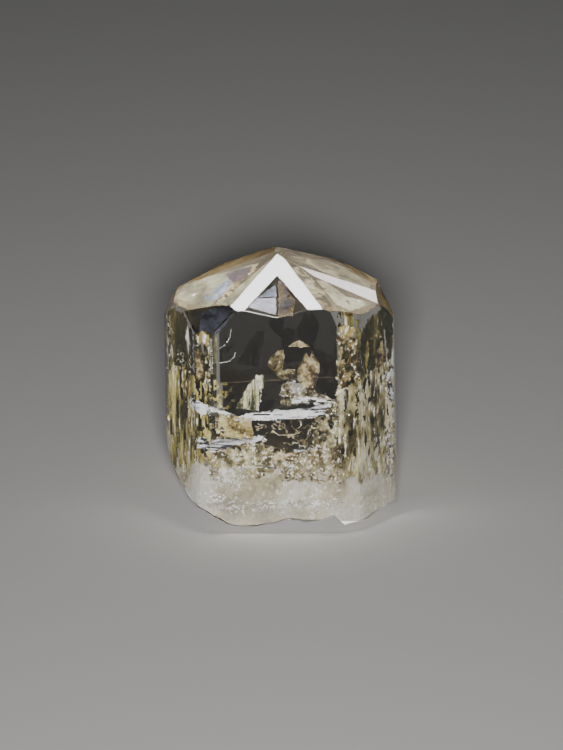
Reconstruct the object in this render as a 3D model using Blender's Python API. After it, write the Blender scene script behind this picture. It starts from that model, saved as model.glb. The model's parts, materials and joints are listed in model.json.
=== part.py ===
"""Phenakite crystal: a short six-sided prism with a low crown of many faces, snapped off its rock at the base.

Built in metres, +Z up, front towards -Y, standing on the flat of its break with the origin under its middle.
"""

import math

import bmesh
import bpy
from mathutils import Matrix, Vector, noise

MM = 0.001
OBJECT_NAME = "phenakite_crystal"

# The rough block that the crystal is cut from, in millimetres.
BLOCK_WIDTH = 22.0
BLOCK_HEIGHT = 26.0
BLOCK_FOOT = 4.0

# Upright faces: azimuth in degrees from the front, positive to the right, then distance from the axis in mm.
PRISM_FACES = {
    "front": (0.0, 5.39),
    "front_right_narrow": (30.0, 6.50),
    "right": (60.0, 6.68),
    "right_edge": (88.0, 7.37),
    "back_right": (120.0, 6.83),
    "back_right_narrow": (150.0, 6.75),
    "back": (180.0, 5.39),
    "back_left_narrow": (-150.0, 6.60),
    "back_left": (-120.0, 6.48),
    "left_edge": (-78.0, 7.50),
    "left": (-60.0, 7.17),
    "front_left_narrow": (-30.0, 6.92),
}

# Crown faces: azimuth, slope from level in degrees, then distance from the base point on the axis in mm.
CROWN_FACES = {
    "front_kite": (0.0, 34.0, 15.80),
    "left_of_kite": (-36.0, 27.7, 16.63),
    "left_broad": (-51.0, 27.5, 16.63),
    "right_of_kite": (38.0, 29.6, 16.35),
    "right_broad": (54.0, 32.3, 16.04),
    "right_band": (68.0, 28.2, 16.33),
    "right_high": (80.0, 24.9, 16.55),
    "left_upper": (-95.0, 20.8, 17.19),
    "right_upper": (90.0, 26.8, 16.64),
    "back_left_slope": (-140.0, 25.1, 16.86),
    "back_left_low": (-120.0, 33.7, 16.29),
    "back_right_slope": (150.0, 23.5, 17.17),
    "back_right_low": (122.0, 34.5, 16.57),
    "back_slope": (180.0, 30.0, 16.00),
    "left_shoulder": (-88.0, 62.5, 13.25),
    "right_shoulder": (86.0, 58.9, 13.28),
    "front_left_corner": (-31.0, 62.0, 12.61),
    "front_right_corner": (34.4, 77.3, 9.48),
}

# A shallow notch in the front kite: two small faces that meet in a valley, in the same terms.
NOTCH_FACES = {
    "notch_left": (15.3, 42.5, 14.47),
    "notch_right": (-17.3, 42.8, 14.45),
}
NOTCH_BLOCK = 7.0
NOTCH_BLOCK_PLACE = (-0.1, -4.4, 16.0)

# The whole crystal leans a little to the left at its top.
LEAN_DEGREES = 1.1
LEAN_PIVOT_HEIGHT = 15.0

# The break: a grid of points over the base, whose heights follow the rim and sink gently to a flat in the middle.
BREAK_CELLS_X = 54
BREAK_CELLS_Y = 40
BREAK_SPAN_X = 17.5
BREAK_SPAN_Y = 13.3
BREAK_CUTTER_DEPTH = 8.0
REST_HEIGHT = 0.57
SINK_HEIGHT = 0.20
RIM_RISE_POWER = 1.4
BACK_RIM_HEIGHT = 1.35
BACK_RIM_WAVE = 0.35
BACK_WAVES_PER_MM = 0.4
HALF_WIDTH = 7.4
HALF_DEPTH = 5.4

# Height of the break along the front edge, as distance to the right of the axis and height, with the lost left corner.
FRONT_RIM = (
    (-8.5, 6.4),
    (-7.38, 5.5),
    (-7.20, 4.9),
    (-7.22, 4.7),
    (-6.95, 4.0),
    (-6.73, 3.5),
    (-5.88, 2.5),
    (-5.36, 2.1),
    (-4.5, 1.74),
    (-3.6, 1.19),
    (-2.7, 0.92),
    (-1.1, 1.06),
    (-0.3, 1.26),
    (0.8, 1.52),
    (1.7, 1.32),
    (2.8, 1.38),
    (3.6, 1.72),
    (4.15, 1.05),
    (4.7, 1.18),
    (5.4, 1.10),
    (6.0, 1.26),
    (6.9, 1.41),
    (7.6, 1.50),
)
CORNER_X = (-5.4, -4.3)
CORNER_BACK_LOSS = 0.45
CORNER_ROUGH_SHARE = 0.5

# Roughness of the break: terraces of a fixed step, then coarse and fine unevenness.
TERRACE_STEP = 0.30
TERRACE_SHARE = 0.45
ROUGH_COARSE = 0.34
ROUGH_FINE = 0.10
COARSE_PER_MM = 0.42
FINE_PER_MM = 1.7
FINE_ROUGHNESS = 0.9
FINE_LACUNARITY = 2.0
FINE_OCTAVES = 3

# Where the break changes over: from back rim to front rim, along the lost corner, and into its rough parts.
RIM_TURN_Y = (0.5, -3.5)
CORNER_FADE_Y = (0.5, 4.5)
ROUGH_FROM_Y = (-1.0, 2.0)
SMOOTH_RIM_REACH = (1.0, 0.9)
COARSE_REACH = (0.45, 0.7)
FINE_REACH = (0.35, 0.8)

# Which slice of the noise each unevenness is read from.
BACK_WAVE_SLICE = 7.0
COARSE_SLICE = 3.0

# Growth steps: the upper part of a face lies a little deeper (face name, height of the step, depth, tilt in degrees).
STEP_SLAB = 1.0
GROWTH_STEPS = (
    ("back", 9.2, 0.10, 3.0),
    ("back_left", 6.6, 0.12, -4.0),
    ("back_right", 10.4, 0.10, 5.0),
)


def clear_scene():
    for old in list(bpy.data.objects):
        bpy.data.objects.remove(old, do_unlink=True)


def new_collection(name):
    collection = bpy.data.collections.new(name)
    bpy.context.scene.collection.children.link(collection)
    return collection


def upright_normal(azimuth):
    angle = math.radians(azimuth)
    return Vector((math.sin(angle), -math.cos(angle), 0.0))


def sloped_normal(azimuth, slope):
    angle = math.radians(slope)
    return upright_normal(azimuth) * math.sin(angle) + Vector((0.0, 0.0, math.cos(angle)))


def cut_face(mesh, normal, distance):
    """Saws off what lies beyond the plane and closes the crystal with the new flat face."""
    cut = bmesh.ops.bisect_plane(
        mesh,
        geom=mesh.verts[:] + mesh.edges[:] + mesh.faces[:],
        plane_co=normal * distance * MM,
        plane_no=normal,
        dist=1e-8,
        clear_outer=True,
    )
    rim = [item for item in cut["geom_cut"] if isinstance(item, bmesh.types.BMEdge)]
    if rim:
        bmesh.ops.holes_fill(mesh, edges=rim, sides=0)


def faceted_block():
    """The prism and its crown, cut face by face from a plain block."""
    mesh = bmesh.new()
    bmesh.ops.create_cube(mesh, size=1.0)
    bmesh.ops.scale(mesh, vec=Vector((BLOCK_WIDTH, BLOCK_WIDTH, BLOCK_HEIGHT)) * MM, verts=mesh.verts)
    bmesh.ops.translate(mesh, vec=Vector((0.0, 0.0, BLOCK_HEIGHT / 2 - BLOCK_FOOT)) * MM, verts=mesh.verts)
    for azimuth, distance in PRISM_FACES.values():
        cut_face(mesh, upright_normal(azimuth), distance)
    for azimuth, slope, distance in CROWN_FACES.values():
        cut_face(mesh, sloped_normal(azimuth, slope), distance)
    return mesh


def lean_matrix():
    """Tips the crystal to the left by its lean, turning it about a point high on the axis."""
    pivot = Matrix.Translation(Vector((0.0, 0.0, LEAN_PIVOT_HEIGHT * MM)))
    return pivot @ Matrix.Rotation(math.radians(-LEAN_DEGREES), 4, "Y") @ pivot.inverted()


def smooth_step(low, high, value):
    part = min(max((value - low) / (high - low), 0.0), 1.0)
    return part * part * (3.0 - 2.0 * part)


def front_rim_height(x):
    """Height of the break's front edge over x, read from the measured rim."""
    for (x_low, low), (x_high, high) in zip(FRONT_RIM, FRONT_RIM[1:]):
        if x <= x_high:
            part = (x - x_low) / max(x_high - x_low, 1e-6)
            return low + (high - low) * min(max(part, 0.0), 1.0)
    return FRONT_RIM[-1][1]


def break_height(x, y):
    """Height in mm of the broken base over a point, before the flat that it rests on."""
    front_rim = front_rim_height(x)
    wave = noise.noise(Vector((x * BACK_WAVES_PER_MM, y * BACK_WAVES_PER_MM, BACK_WAVE_SLICE)))
    back_rim = BACK_RIM_HEIGHT + BACK_RIM_WAVE * wave
    rim = back_rim + (front_rim - back_rim) * smooth_step(*RIM_TURN_Y, y)
    reach = min(math.hypot(x / HALF_WIDTH, y / HALF_DEPTH), 1.0)
    inside = smooth_step(*SMOOTH_RIM_REACH, reach)
    height = SINK_HEIGHT + (rim - SINK_HEIGHT) * reach**RIM_RISE_POWER
    coarse = noise.noise(Vector((x, y, COARSE_SLICE)) * COARSE_PER_MM)
    behind = max(inside * smooth_step(*COARSE_REACH, reach), smooth_step(*ROUGH_FROM_Y, y) * reach)
    height += ROUGH_COARSE * coarse * behind
    corner = front_rim * (1.0 - CORNER_BACK_LOSS * smooth_step(*CORNER_FADE_Y, y))
    corner += CORNER_ROUGH_SHARE * ROUGH_COARSE * coarse
    height += (max(height, corner) - height) * smooth_step(CORNER_X[1], CORNER_X[0], x)
    terrace = round(height / TERRACE_STEP) * TERRACE_STEP
    height += TERRACE_SHARE * (terrace - height) * behind
    fine_place = Vector((x, y, 0.0)) * FINE_PER_MM
    fine = noise.fractal(fine_place, FINE_ROUGHNESS, FINE_LACUNARITY, FINE_OCTAVES)
    return height + ROUGH_FINE * fine * smooth_step(*FINE_REACH, reach)


def break_cutter(collection):
    """A solid with the broken surface on top, used to cut the base."""
    mesh = bmesh.new()
    bmesh.ops.create_grid(mesh, x_segments=BREAK_CELLS_X, y_segments=BREAK_CELLS_Y, size=0.5)
    bmesh.ops.scale(mesh, vec=Vector((BREAK_SPAN_X, BREAK_SPAN_Y, 1.0)) * MM, verts=mesh.verts)
    top = list(mesh.verts)
    low = bmesh.ops.extrude_face_region(mesh, geom=mesh.faces[:])
    low_verts = [item for item in low["geom"] if isinstance(item, bmesh.types.BMVert)]
    bmesh.ops.translate(mesh, vec=Vector((0.0, 0.0, -BREAK_CUTTER_DEPTH * MM)), verts=low_verts)
    for vert in top:
        vert.co.z = max(break_height(vert.co.x / MM, vert.co.y / MM), REST_HEIGHT) * MM
    bmesh.ops.recalc_face_normals(mesh, faces=mesh.faces[:])
    data = bpy.data.meshes.new("break_cutter")
    mesh.to_mesh(data)
    mesh.free()
    cutter = bpy.data.objects.new("break_cutter", data)
    collection.objects.link(cutter)
    return cutter


def notch_cutter(collection):
    """A block whose underside is the two faces of the notch."""
    mesh = bmesh.new()
    bmesh.ops.create_cube(mesh, size=NOTCH_BLOCK * MM)
    bmesh.ops.translate(mesh, vec=Vector(NOTCH_BLOCK_PLACE) * MM, verts=mesh.verts)
    for azimuth, slope, distance in NOTCH_FACES.values():
        cut_face(mesh, -sloped_normal(azimuth, slope), -distance)
    bmesh.ops.transform(mesh, matrix=lean_matrix(), verts=mesh.verts)
    bmesh.ops.recalc_face_normals(mesh, faces=mesh.faces[:])
    data = bpy.data.meshes.new("notch_cutter")
    mesh.to_mesh(data)
    mesh.free()
    cutter = bpy.data.objects.new("notch_cutter", data)
    collection.objects.link(cutter)
    return cutter


def step_cutter(collection, face, low, depth, tilt):
    """A slab laid on the upper part of a face, sunk by the depth of the growth step."""
    azimuth, distance = PRISM_FACES[face]
    mesh = bmesh.new()
    bmesh.ops.create_cube(mesh, size=1.0)
    bmesh.ops.scale(mesh, vec=Vector((BLOCK_WIDTH, STEP_SLAB, BLOCK_HEIGHT)) * MM, verts=mesh.verts)
    bmesh.ops.translate(mesh, vec=Vector((0.0, 0.0, BLOCK_HEIGHT / 2)) * MM, verts=mesh.verts)
    bmesh.ops.rotate(mesh, matrix=Matrix.Rotation(math.radians(tilt), 3, "Y"), verts=mesh.verts)
    bmesh.ops.rotate(mesh, matrix=Matrix.Rotation(math.radians(azimuth), 3, "Z"), verts=mesh.verts)
    place = upright_normal(azimuth) * (distance - depth + STEP_SLAB / 2) + Vector((0.0, 0.0, low))
    bmesh.ops.translate(mesh, vec=place * MM, verts=mesh.verts)
    data = bpy.data.meshes.new("step_cutter_" + face)
    mesh.to_mesh(data)
    mesh.free()
    cutter = bpy.data.objects.new("step_cutter_" + face, data)
    collection.objects.link(cutter)
    return cutter


def subtract(target, cutter):
    """Takes the cutter away from the target for good, and leaves the cutter as a hidden guide."""
    cutter.hide_render = True
    cutter.display_type = "WIRE"
    modifier = target.modifiers.new("cut", "BOOLEAN")
    modifier.operation = "DIFFERENCE"
    modifier.solver = "EXACT"
    modifier.object = cutter
    bpy.context.view_layer.objects.active = target
    bpy.ops.object.modifier_apply(modifier=modifier.name)


def crystal_material():
    material = bpy.data.materials.new("clear_crystal")
    material.use_nodes = True
    shader = material.node_tree.nodes["Principled BSDF"]
    shader.inputs["Base Color"].default_value = (0.86, 0.84, 0.74, 1.0)
    shader.inputs["Roughness"].default_value = 0.05
    shader.inputs["IOR"].default_value = 1.66
    shader.inputs["Transmission Weight"].default_value = 0.9
    return material


clear_scene()
crystal_parts = new_collection(OBJECT_NAME)
guides = new_collection("guides")
guides.hide_render = True

block = faceted_block()
bmesh.ops.transform(block, matrix=lean_matrix(), verts=block.verts)
bmesh.ops.recalc_face_normals(block, faces=block.faces[:])
crystal_data = bpy.data.meshes.new("crystal")
block.to_mesh(crystal_data)
block.free()
crystal = bpy.data.objects.new("crystal", crystal_data)
crystal_parts.objects.link(crystal)
crystal.data.materials.append(crystal_material())

for growth_step in GROWTH_STEPS:
    subtract(crystal, step_cutter(guides, *growth_step))
subtract(crystal, notch_cutter(guides))
subtract(crystal, break_cutter(guides))

# The origin goes under the middle of the crystal's outline, at the height of the flat that it rests on.
corners = [vert.co.copy() for vert in crystal.data.vertices]
middle_x = (min(point.x for point in corners) + max(point.x for point in corners)) / 2
middle_y = (min(point.y for point in corners) + max(point.y for point in corners)) / 2
lowest = min(point.z for point in corners)
crystal.data.transform(Matrix.Translation(Vector((-middle_x, -middle_y, -lowest))))
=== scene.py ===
import json
import math

import bmesh
import bpy
from mathutils import Matrix, Vector, noise

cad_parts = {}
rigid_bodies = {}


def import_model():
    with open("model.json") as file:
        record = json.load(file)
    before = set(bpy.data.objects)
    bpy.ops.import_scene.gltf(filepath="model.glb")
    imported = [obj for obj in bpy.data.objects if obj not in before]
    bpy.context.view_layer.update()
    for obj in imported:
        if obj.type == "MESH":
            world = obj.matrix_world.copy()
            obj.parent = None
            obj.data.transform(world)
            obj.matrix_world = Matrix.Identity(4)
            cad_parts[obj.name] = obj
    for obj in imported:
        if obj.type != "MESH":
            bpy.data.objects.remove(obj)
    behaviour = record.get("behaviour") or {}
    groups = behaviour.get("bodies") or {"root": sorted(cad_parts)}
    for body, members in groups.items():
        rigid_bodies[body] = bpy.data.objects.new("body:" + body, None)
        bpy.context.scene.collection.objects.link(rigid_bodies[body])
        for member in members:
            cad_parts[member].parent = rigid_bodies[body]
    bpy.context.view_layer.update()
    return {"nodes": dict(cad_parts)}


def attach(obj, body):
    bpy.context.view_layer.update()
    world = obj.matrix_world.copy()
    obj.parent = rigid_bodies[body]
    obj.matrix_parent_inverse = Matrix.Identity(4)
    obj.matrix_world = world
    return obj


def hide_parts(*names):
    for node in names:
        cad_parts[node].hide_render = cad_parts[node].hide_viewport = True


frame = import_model()

# The clear crystal: a stubby phenakite prism with a low crown, faintly yellow, snapped off its rock. It grew
# in a vein as one body, so its faces are flat and glossy, though some crown faces grew satin. The break
# underneath is rough and frosted.
MM = 0.001
WELD_DISTANCE = 0.0005 * MM
FLAT_ANGLE = math.radians(0.4)
WORN_EDGE_ANGLE = math.radians(4.0)
EDGE_WEAR = 0.045 * MM
LARGE_FACE = 0.16 * MM * MM
CROWN_SLOPE = 45.0
BREAK_SLOPE = 100.0
GLOSSY_AZIMUTHS = ((-22.0, 22.0), (62.0, 76.0))
STONE_IOR = 1.66
STONE_TINT = (0.95, 0.91, 0.71, 1.0)
STONE_TINT_DENSITY = 36.0
PRISM_FACES, CROWN_FACES, BREAK_FACES = range(3)


def deselect_all():
    for each in bpy.context.view_layer.objects:
        each.select_set(False)


def make_active(piece):
    deselect_all()
    piece.select_set(True)
    bpy.context.view_layer.objects.active = piece


def new_material(name):
    material = bpy.data.materials.new(name)
    material.use_nodes = True
    return material, material.node_tree.nodes, material.node_tree.links


def set_inputs(node, values):
    for key, value in values.items():
        node.inputs[key].default_value = value


def add_node(nodes, kind, values=None, **settings):
    """Adds a shader node, sets it up and gives its inputs their values."""
    node = nodes.new(kind)
    for key, value in settings.items():
        setattr(node, key, value)
    set_inputs(node, values or {})
    return node


def stone_material(name, roughness, grain_scale, grain_depth, stretch=(1.0, 1.0, 1.0), clearness=1.0):
    """Clear phenakite: plain transmission, a faint yellow absorption and a fine relief in the surface."""
    material, nodes, links = new_material(name)
    shader = nodes["Principled BSDF"]
    set_inputs(shader, {
        "Base Color": (1.0, 1.0, 1.0, 1.0),
        "Roughness": roughness,
        "IOR": STONE_IOR,
        "Transmission Weight": clearness,
    })
    absorption = add_node(
        nodes, "ShaderNodeVolumeAbsorption", {"Color": STONE_TINT, "Density": STONE_TINT_DENSITY}
    )
    links.new(absorption.outputs["Volume"], nodes["Material Output"].inputs["Volume"])
    place = add_node(nodes, "ShaderNodeTexCoord")
    spread = add_node(nodes, "ShaderNodeMapping", {"Scale": stretch})
    grain = add_node(nodes, "ShaderNodeTexNoise", {"Scale": grain_scale, "Detail": 4.0})
    bump = add_node(nodes, "ShaderNodeBump", {"Strength": 1.0, "Distance": grain_depth})
    links.new(place.outputs["Object"], spread.inputs["Vector"])
    links.new(spread.outputs["Vector"], grain.inputs["Vector"])
    links.new(grain.outputs["Fac"], bump.inputs["Height"])
    links.new(bump.outputs["Normal"], shader.inputs["Normal"])
    return material


cad_crystal = frame["nodes"]["crystal"]
crystal = cad_crystal.copy()
crystal.data = cad_crystal.data.copy()
crystal.name = "clear_crystal"
bpy.context.scene.collection.objects.link(crystal)
crystal.data.materials.clear()
crystal.data.materials.append(stone_material(
    "clear_prism_faces", roughness=0.015, grain_scale=900.0, grain_depth=0.0012 * MM, stretch=(1.0, 1.0, 0.12)
))
crystal.data.materials.append(stone_material(
    "satin_crown_faces", roughness=0.16, grain_scale=1500.0, grain_depth=0.004 * MM
))
crystal.data.materials.append(stone_material(
    "frosted_break", roughness=0.35, grain_scale=1900.0, grain_depth=0.10 * MM, clearness=0.45
))
make_active(crystal)
bpy.ops.object.mode_set(mode="EDIT")
bpy.ops.mesh.select_all(action="SELECT")
bpy.ops.mesh.remove_doubles(threshold=WELD_DISTANCE)
bpy.ops.mesh.dissolve_limited(angle_limit=FLAT_ANGLE)
bpy.ops.mesh.normals_make_consistent(inside=False)
bpy.ops.object.mode_set(mode="OBJECT")

work = bmesh.new()
work.from_mesh(crystal.data)
weights = work.edges.layers.float.new("bevel_weight_edge")
for face in work.faces:
    azimuth = math.degrees(math.atan2(face.normal.x, -face.normal.y))
    slope = math.degrees(math.acos(max(-1.0, min(1.0, face.normal.z))))
    large = face.calc_area() > LARGE_FACE and slope < BREAK_SLOPE
    glossy = any(low < azimuth < high for low, high in GLOSSY_AZIMUTHS)
    if not large:
        face.material_index = BREAK_FACES
    elif slope < CROWN_SLOPE and not glossy:
        face.material_index = CROWN_FACES
    else:
        face.material_index = PRISM_FACES
    face.smooth = False
for edge in work.edges:
    if len(edge.link_faces) == 2 and all(face.material_index != BREAK_FACES for face in edge.link_faces):
        if edge.calc_face_angle(0.0) > WORN_EDGE_ANGLE:
            edge[weights] = 1.0
work.to_mesh(crystal.data)
work.free()
edge_wear = crystal.modifiers.new("edge_wear", "BEVEL")
edge_wear.limit_method = "WEIGHT"
edge_wear.width = EDGE_WEAR
edge_wear.segments = 2
edge_wear.use_clamp_overlap = True
bpy.ops.object.modifier_apply(modifier=edge_wear.name)
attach(crystal, "root")
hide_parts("crystal")

# The cloudy root: the lower part of the stone is milky where it grew against the rock, beige-white with
# brownish patches. It is the same stone full of tiny cracks and drops of fluid, so it starts just inside the
# faces, and its upper limit is uneven and climbs towards the front and the sides.
CLOUD_INSET = 0.971
CLOUD_LIFT = 0.08 * MM
CLOUD_TOP_FRONT = 4.3
CLOUD_TOP_BACK = 3.3
CLOUD_TOP_SIDES = 1.7
CLOUD_TOP_ROUGH = 0.9
CLOUD_TOP_WAVE = 1.3
CLOUD_TOP_SEED = 4.0
CLOUD_TOP_NOISE = (0.9, 2.1, 4)
CLOUD_FRONT_RAMP_Y = (-4.5, -1.0)
CLOUD_SIDE_RAMP_X = (4.6, 6.4)
CUTTER_SIZE = (18.0 * MM, 14.0 * MM, 30.0 * MM)
CUTTER_CELLS = (70, 54)
MILK_TONES = ((0.17, 0.12, 0.04), (0.46, 0.40, 0.23), (0.70, 0.68, 0.60))
MILK_TONE_PLACES = (0.38, 0.48, 0.57)
PURE_MILK = (0.62, 0.60, 0.53, 1.0)
PURE_MILK_SHARE = 0.50
PURE_MILK_FROM_Z = 4.5 * MM
PURE_MILK_FULL_Z = 1.0 * MM


def smooth_step(low, high, value):
    part = min(max((value - low) / (high - low), 0.0), 1.0)
    return part * part * (3.0 - 2.0 * part)


def cloud_top(x, y):
    """Height in mm of the upper limit of the milky part over a point of the crystal."""
    top = CLOUD_TOP_FRONT + (CLOUD_TOP_BACK - CLOUD_TOP_FRONT) * smooth_step(*CLOUD_FRONT_RAMP_Y, y)
    top += CLOUD_TOP_SIDES * smooth_step(*CLOUD_SIDE_RAMP_X, abs(x))
    place = Vector((x / CLOUD_TOP_WAVE, y / CLOUD_TOP_WAVE, CLOUD_TOP_SEED))
    return top + CLOUD_TOP_ROUGH * noise.fractal(place, *CLOUD_TOP_NOISE)


def three_tones(nodes, places, dark, middle, light):
    """A colour ramp from a dark tone over a middle one to a light one."""
    tones = add_node(nodes, "ShaderNodeValToRGB")
    stops = tones.color_ramp.elements
    stops[0].position = places[0]
    stops[0].color = (*dark, 1.0)
    stops[1].position = places[2]
    stops[1].color = (*light, 1.0)
    stops.new(places[1]).color = (*middle, 1.0)
    return tones


def cloud_material():
    """Milky stone: beige-white with brownish patches, whiter lower down, in tiny grains with painted white
    sparks.
    """
    material, nodes, links = new_material("milky_stone")
    shader = nodes["Principled BSDF"]
    set_inputs(shader, {"Roughness": 0.4})
    place = add_node(nodes, "ShaderNodeTexCoord")
    patches = add_node(
        nodes, "ShaderNodeTexNoise", {"Scale": 300.0, "Detail": 9.0, "Roughness": 0.72, "Distortion": 0.6}
    )
    tones = three_tones(nodes, MILK_TONE_PLACES, *MILK_TONES)
    height = add_node(nodes, "ShaderNodeSeparateXYZ")
    whitening = add_node(nodes, "ShaderNodeMapRange", {
        "From Min": PURE_MILK_FROM_Z, "From Max": PURE_MILK_FULL_Z, "To Max": PURE_MILK_SHARE,
    })
    milk = add_node(nodes, "ShaderNodeMix", {"B": PURE_MILK}, data_type="RGBA")
    grains = add_node(nodes, "ShaderNodeTexVoronoi", {"Scale": 5600.0})
    grain_values = add_node(nodes, "ShaderNodeSeparateColor")
    # Painted highlights: grains with the highest random value are painted white as sparks.
    painted_spark_part = add_node(nodes, "ShaderNodeMapRange", {"From Min": 0.90, "From Max": 1.06})
    shade = add_node(nodes, "ShaderNodeMapRange", {"To Min": 0.82})
    shaded = add_node(nodes, "ShaderNodeVectorMath", operation="SCALE")
    paint = add_node(nodes, "ShaderNodeMix", {"B": (1.0, 1.0, 1.0, 1.0)}, data_type="RGBA")
    bump = add_node(nodes, "ShaderNodeBump", {"Distance": 0.30 * MM})
    links.new(place.outputs["Object"], patches.inputs["Vector"])
    links.new(place.outputs["Object"], grains.inputs["Vector"])
    links.new(grains.outputs["Color"], grain_values.inputs["Color"])
    links.new(place.outputs["Object"], height.inputs["Vector"])
    links.new(height.outputs["Z"], whitening.inputs["Value"])
    links.new(whitening.outputs["Result"], milk.inputs["Factor"])
    links.new(patches.outputs["Fac"], tones.inputs["Fac"])
    links.new(tones.outputs["Color"], milk.inputs["A"])
    links.new(grain_values.outputs["Green"], shade.inputs["Value"])
    links.new(shade.outputs["Result"], shaded.inputs["Scale"])
    links.new(milk.outputs["Result"], shaded.inputs[0])
    links.new(shaded.outputs["Vector"], paint.inputs["A"])
    links.new(grain_values.outputs["Red"], painted_spark_part.inputs["Value"])
    links.new(painted_spark_part.outputs["Result"], paint.inputs["Factor"])
    links.new(paint.outputs["Result"], shader.inputs["Base Color"])
    links.new(patches.outputs["Fac"], bump.inputs["Height"])
    links.new(bump.outputs["Normal"], shader.inputs["Normal"])
    return material


cloud = crystal.copy()
cloud.data = cad_crystal.data.copy()
cloud.name = "cloudy_root"
bpy.context.scene.collection.objects.link(cloud)
cloud.data.materials.clear()
cloud.data.materials.append(cloud_material())
make_active(cloud)
bpy.ops.object.mode_set(mode="EDIT")
bpy.ops.mesh.select_all(action="SELECT")
bpy.ops.mesh.remove_doubles(threshold=WELD_DISTANCE)
bpy.ops.transform.resize(value=(CLOUD_INSET, CLOUD_INSET, CLOUD_INSET), center_override=(0.0, 0.0, 0.0))
bpy.ops.transform.translate(value=(0.0, 0.0, CLOUD_LIFT))
bpy.ops.object.mode_set(mode="OBJECT")
bpy.ops.mesh.primitive_grid_add(x_subdivisions=CUTTER_CELLS[0], y_subdivisions=CUTTER_CELLS[1], size=1.0)
above = bpy.context.object
bpy.ops.object.mode_set(mode="EDIT")
bpy.ops.transform.resize(value=(CUTTER_SIZE[0], CUTTER_SIZE[1], 1.0), center_override=(0.0, 0.0, 0.0))
bpy.ops.mesh.extrude_region_move(TRANSFORM_OT_translate={"value": (0.0, 0.0, CUTTER_SIZE[2])})
bpy.ops.object.mode_set(mode="OBJECT")
for vert in above.data.vertices:
    if vert.co.z < CUTTER_SIZE[2] / 2.0:
        vert.co.z = cloud_top(vert.co.x / MM, vert.co.y / MM) * MM
make_active(above)
bpy.ops.object.mode_set(mode="EDIT")
bpy.ops.mesh.select_all(action="SELECT")
bpy.ops.mesh.normals_make_consistent(inside=False)
bpy.ops.object.mode_set(mode="OBJECT")
make_active(cloud)
cut = cloud.modifiers.new("cloud_limit", "BOOLEAN")
cut.operation = "DIFFERENCE"
cut.solver = "EXACT"
cut.object = above
bpy.ops.object.modifier_apply(modifier=cut.name)
bpy.data.objects.remove(above, do_unlink=True)
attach(cloud, "root")

# The beige and golden veils: ragged veils of fluid-filled tubes just under the faces, dense below and open
# above. Each is a thin crumpled sheet full of gaps, and the clear stone shows dark through them.
# A face is an azimuth and a slope in degrees and the distance in mm of its plane from the stone's middle.
VIEW_ELEVATION = math.radians(14.0)
FRONT = (0.0, 90.0, 5.39)
NARROW_LEFT = (-30.0, 90.5, 6.81)
LEFT = (-60.0, 91.0, 6.97)
NARROW_RIGHT = (30.0, 89.5, 6.61)
RIGHT = (60.0, 89.0, 6.88)
FILM_TONE_PLACES = (0.42, 0.51, 0.60)
# Painted highlights: white glints mixed into the films' colour where a finer noise peaks.
PAINTED_GLINT_COLOUR = (0.96, 0.96, 0.95, 1.0)
PAINTED_GLINT_FADE = 0.06
PAINTED_GLINTS_PER_PATCH = 4.0
RAG_WAVE = 0.35
RAG_NOISE = (0.8, 2.1, 3)
GAP_SEED_STEP = 7.0
SIDE_ON = 0.4


def face_axes(face):
    """Directions of a face of the stone: along it, up it and out of it."""
    azimuth, slope = math.radians(face[0]), math.radians(face[1])
    flat = math.sin(slope)
    outward = Vector((math.sin(azimuth) * flat, -math.cos(azimuth) * flat, math.cos(slope)))
    along = Vector((math.cos(azimuth), math.sin(azimuth), 0.0))
    return along, outward.cross(along), outward


def place_behind(face, depth):
    """Place of a sheet under a face, moved in by a depth in mm and shifted as the stone bends the view."""
    along, upward, outward = face_axes(face)
    view = Vector((0.0, math.cos(VIEW_ELEVATION), -math.sin(VIEW_ELEVATION)))
    bent = (view - outward * view.dot(outward)) / STONE_IOR
    shift = bent * depth / math.sqrt(1.0 - bent.length_squared)
    place = Matrix((along, upward, outward)).transposed().to_4x4()
    place.translation = (outward * (face[2] - depth) + shift) * MM
    return place


def on_face(face, outline):
    """Turns an outline given by x and z in mm, or y and z on a side-on face, into distances on the face."""
    along, upward, outward = face_axes(face)
    axis = 0 if abs(along.x) > SIDE_ON else 1
    turned = []
    for side, z in outline:
        up = (z - outward.z * face[2]) / upward.z
        turned.append(((side - outward[axis] * face[2] - up * upward[axis]) / along[axis], up))
    return turned


def depth_in(outline, u, v):
    """Distance in mm from a point to the border of an outline, positive inside it."""
    inside = False
    nearest = math.inf
    for (au, av), (bu, bv) in zip(outline, outline[1:] + outline[:1]):
        if (av > v) != (bv > v) and u < (bu - au) * (v - av) / (bv - av) + au:
            inside = not inside
        length = max((bu - au) ** 2 + (bv - av) ** 2, 1e-9)
        part = min(max(((u - au) * (bu - au) + (v - av) * (bv - av)) / length, 0.0), 1.0)
        nearest = min(nearest, math.hypot(u - au - part * (bu - au), v - av - part * (bv - av)))
    return nearest if inside else -nearest


def rough(u, v, w):
    return noise.fractal(Vector((u, v, w)), *RAG_NOISE)


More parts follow.
